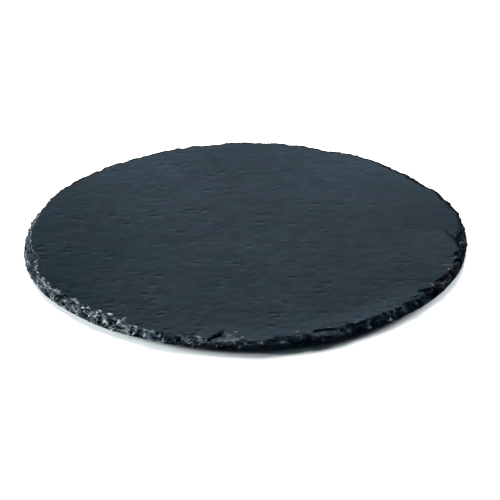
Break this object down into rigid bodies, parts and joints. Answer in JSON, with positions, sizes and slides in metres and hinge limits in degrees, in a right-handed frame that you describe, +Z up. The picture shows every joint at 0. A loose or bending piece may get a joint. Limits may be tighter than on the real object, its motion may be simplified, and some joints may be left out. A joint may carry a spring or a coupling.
{
  "type": "round slate serving board",
  "caption": "Round flat slate plate with a rough knapped edge, standing on small rubber feet, for serving food.",
  "frame": {"origin": "on the table surface, below the middle of the board's outline, at the bottom of the feet", "axes": "+Z up out of the serving face, -Y towards the front of the board as pictured, +X to its right"},
  "size_m": [0.3009, 0.3003, 0.0075],
  "materials": {
    "slate": "matte",
    "rubber_foot": "matte",
    "adhesive": "satin"
  },
  "bodies": {
    "root": {"slate_disc": "slate", "foot_front_left": "rubber_foot", "foot_front_right": "rubber_foot", "foot_rear_left": "rubber_foot", "foot_rear_right": "rubber_foot", "adhesive_front_left": "adhesive", "adhesive_front_right": "adhesive", "adhesive_rear_left": "adhesive", "adhesive_rear_right": "adhesive"}
  },
  "joints": []
}
